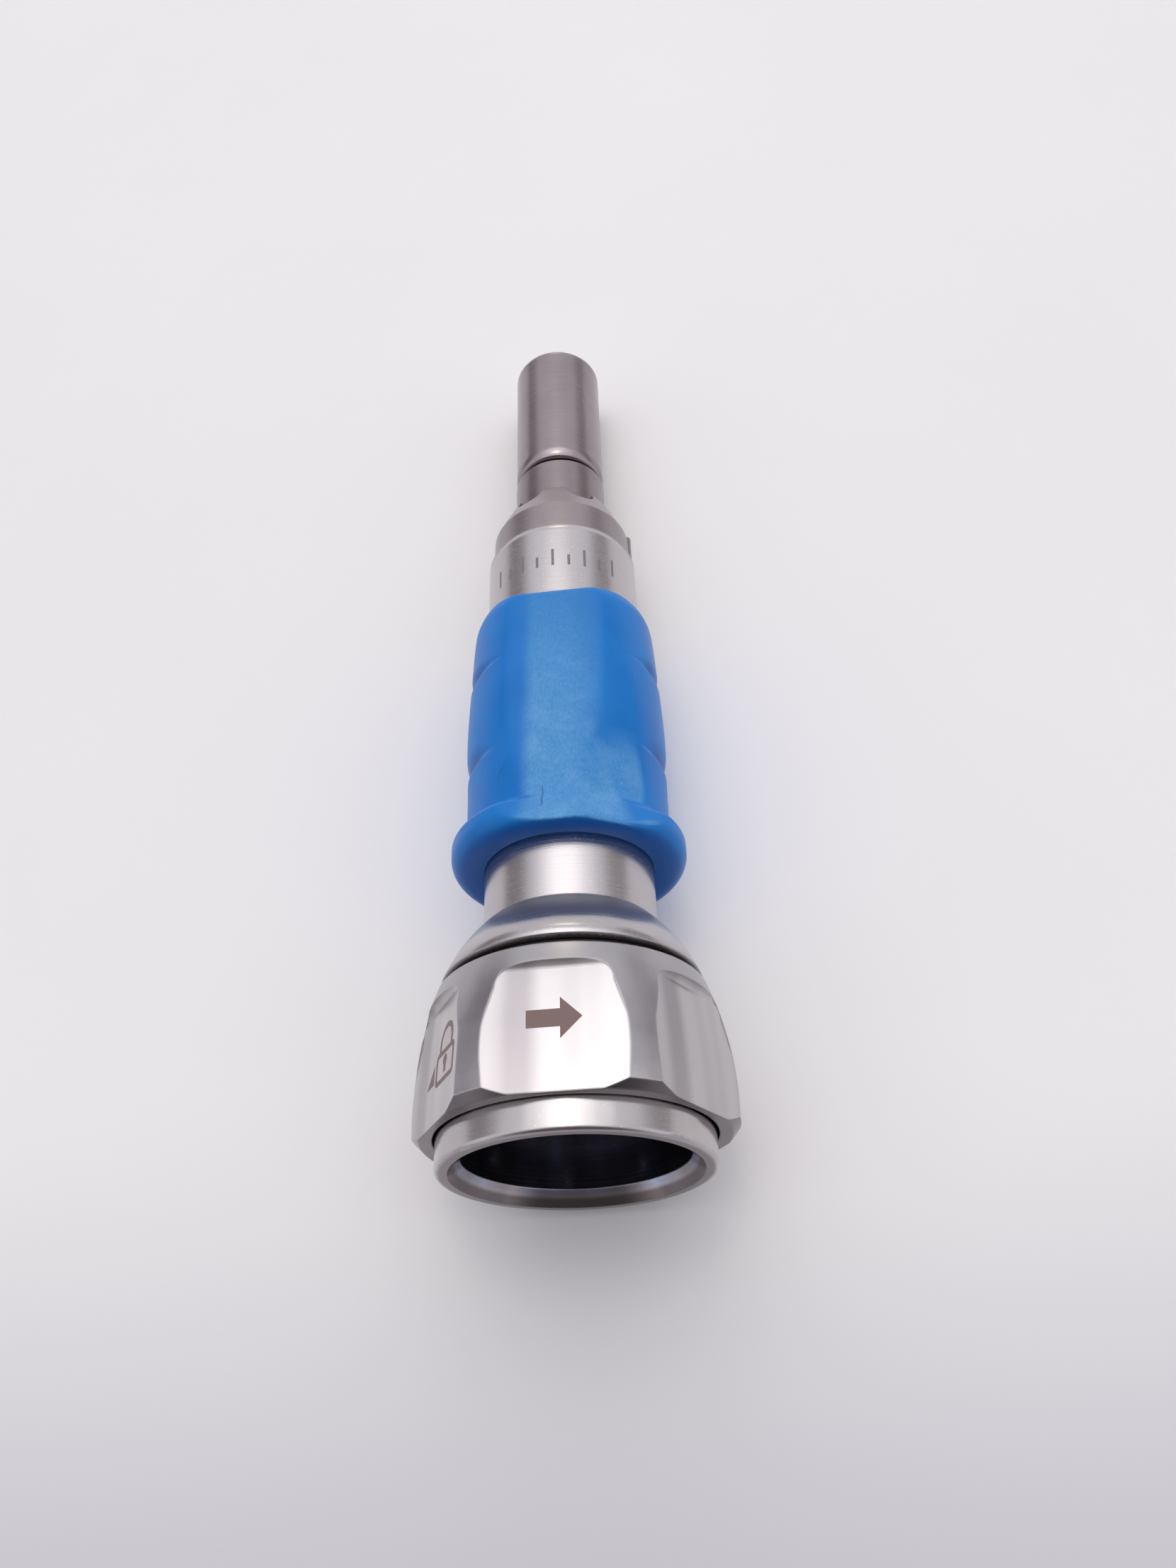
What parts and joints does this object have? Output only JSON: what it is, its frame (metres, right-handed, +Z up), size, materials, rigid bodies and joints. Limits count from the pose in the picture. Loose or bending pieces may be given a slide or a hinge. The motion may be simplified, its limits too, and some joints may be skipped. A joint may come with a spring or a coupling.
{
  "type": "surgical drill handpiece",
  "caption": "High-speed surgical drill handpiece: rear motor socket with a turning lock ring, blue finger grip, indexed collar and slim nose for a cutter and its guard.",
  "frame": {"origin": "on the spindle's axis at the socket's stop face, where the motor's spigot seats", "axes": "+Y along the spindle's axis to the nose, -Y out of the socket's mouth, +Z up through the middle of the ring's top panel"},
  "size_m": [0.0236, 0.0837, 0.0216],
  "materials": {
    "housing_steel": "satin turned stainless steel",
    "ring_steel": "turned lands with brighter milled panels",
    "nose_steel": "smooth darker stainless steel",
    "grip_polymer": "satin blue polymer with fine scuffs",
    "inner_steel": "ground steel",
    "slide_polymer": "matt",
    "seal_rubber": "matt black",
    "bush_bronze": "plain bronze"
  },
  "bodies": {
    "handpiece_body": {"main_housing": "housing_steel", "coupling_socket": "housing_steel", "grip_sleeve": "grip_polymer", "index_crown": "housing_steel", "index_pin": "housing_steel", "nose_tube": "nose_steel", "nose_sleeve": "nose_steel", "slide_washer": "slide_polymer", "gap_seal": "seal_rubber", "nose_o_ring": "seal_rubber", "nose_guide_bush": "bush_bronze", "shaft_seal": "seal_rubber", "tip_retaining_ring": "inner_steel", "bearing_spacer": "inner_steel", "preload_washer": "inner_steel", "rear_bearing_outer_race": "inner_steel", "front_bearing_outer_race": "inner_steel", "tip_bearing_outer_race": "inner_steel"},
    "locking_ring": {"locking_ring": "ring_steel"},
    "release_sleeve": {"release_sleeve": "inner_steel", "cam_pins": "inner_steel"},
    "lock_ball_1": {"lock_ball_1": "inner_steel"},
    "lock_ball_2": {"lock_ball_2": "inner_steel"},
    "lock_ball_3": {"lock_ball_3": "inner_steel"},
    "spindle": {"spindle_shaft": "inner_steel", "drive_coupling": "inner_steel", "coupling_pin": "inner_steel", "spindle_nut": "inner_steel", "inner_spacer": "inner_steel", "disc_springs": "inner_steel", "rear_bearing_inner_race": "inner_steel", "front_bearing_inner_race": "inner_steel"},
    "chuck": {"chuck_collar": "inner_steel", "collet": "inner_steel", "chuck_cross_pin": "inner_steel"},
    "rear_bearing_cage": {"rear_bearing_balls": "inner_steel", "rear_bearing_cage": "slide_polymer"},
    "front_bearing_cage": {"front_bearing_balls": "inner_steel", "front_bearing_cage": "slide_polymer"},
    "tip_bearing_race": {"tip_bearing_inner_race": "inner_steel"},
    "tip_bearing_cage": {"tip_bearing_balls": "inner_steel", "tip_bearing_cage": "slide_polymer"}
  },
  "joints": [
    {"name": "lock_ring_turn", "type": "hinge", "parent": "handpiece_body", "child": "locking_ring", "pos_m": [0, 0, 0], "axis": [0, 1, 0], "range_deg": [0, 40]},
    {"name": "release_slide", "type": "slide", "parent": "handpiece_body", "child": "release_sleeve", "axis": [0, -1, 0], "range_m": [0, 0.001]},
    {"name": "lock_ball_1_slide", "type": "slide", "parent": "handpiece_body", "child": "lock_ball_1", "axis": [-0.3746, 0, -0.9272], "range_m": [0, 0.00049]},
    {"name": "lock_ball_2_slide", "type": "slide", "parent": "handpiece_body", "child": "lock_ball_2", "axis": [-0.6157, 0, 0.788], "range_m": [0, 0.00049]},
    {"name": "lock_ball_3_slide", "type": "slide", "parent": "handpiece_body", "child": "lock_ball_3", "axis": [0.9903, 0, 0.1392], "range_m": [0, 0.00049]},
    {"name": "spindle_spin", "type": "hinge", "parent": "handpiece_body", "child": "spindle", "pos_m": [0, 0.03, 0], "axis": [0, 1, 0], "continuous": true},
    {"name": "chuck_slide", "type": "slide", "parent": "spindle", "child": "chuck", "axis": [0, -1, 0], "range_m": [0, 0.0008]},
    {"name": "rear_cage_spin", "type": "hinge", "parent": "handpiece_body", "child": "rear_bearing_cage", "pos_m": [0, 0.01955, 0], "axis": [0, 1, 0], "continuous": true},
    {"name": "front_cage_spin", "type": "hinge", "parent": "handpiece_body", "child": "front_bearing_cage", "pos_m": [0, 0.04055, 0], "axis": [0, 1, 0], "continuous": true},
    {"name": "tip_race_spin", "type": "hinge", "parent": "handpiece_body", "child": "tip_bearing_race", "pos_m": [0, 0.0714, 0], "axis": [0, 1, 0], "continuous": true},
    {"name": "tip_cage_spin", "type": "hinge", "parent": "handpiece_body", "child": "tip_bearing_cage", "pos_m": [0, 0.0714, 0], "axis": [0, 1, 0], "continuous": true}
  ],
  "couplings": [
    {"joint": "release_slide", "follows": "lock_ring_turn", "m_per_rad": 0.001432},
    {"joint": "lock_ball_1_slide", "follows": "lock_ring_turn", "m_per_rad": 0.000701},
    {"joint": "lock_ball_2_slide", "follows": "lock_ring_turn", "m_per_rad": 0.000701},
    {"joint": "lock_ball_3_slide", "follows": "lock_ring_turn", "m_per_rad": 0.000701},
    {"joint": "chuck_slide", "follows": "lock_ring_turn", "m_per_rad": 0.001145},
    {"joint": "rear_cage_spin", "follows": "spindle_spin", "ratio": 0.4},
    {"joint": "front_cage_spin", "follows": "spindle_spin", "ratio": 0.4},
    {"joint": "tip_race_spin", "follows": "spindle_spin", "ratio": 1},
    {"joint": "tip_cage_spin", "follows": "spindle_spin", "ratio": 0.3976}
  ]
}
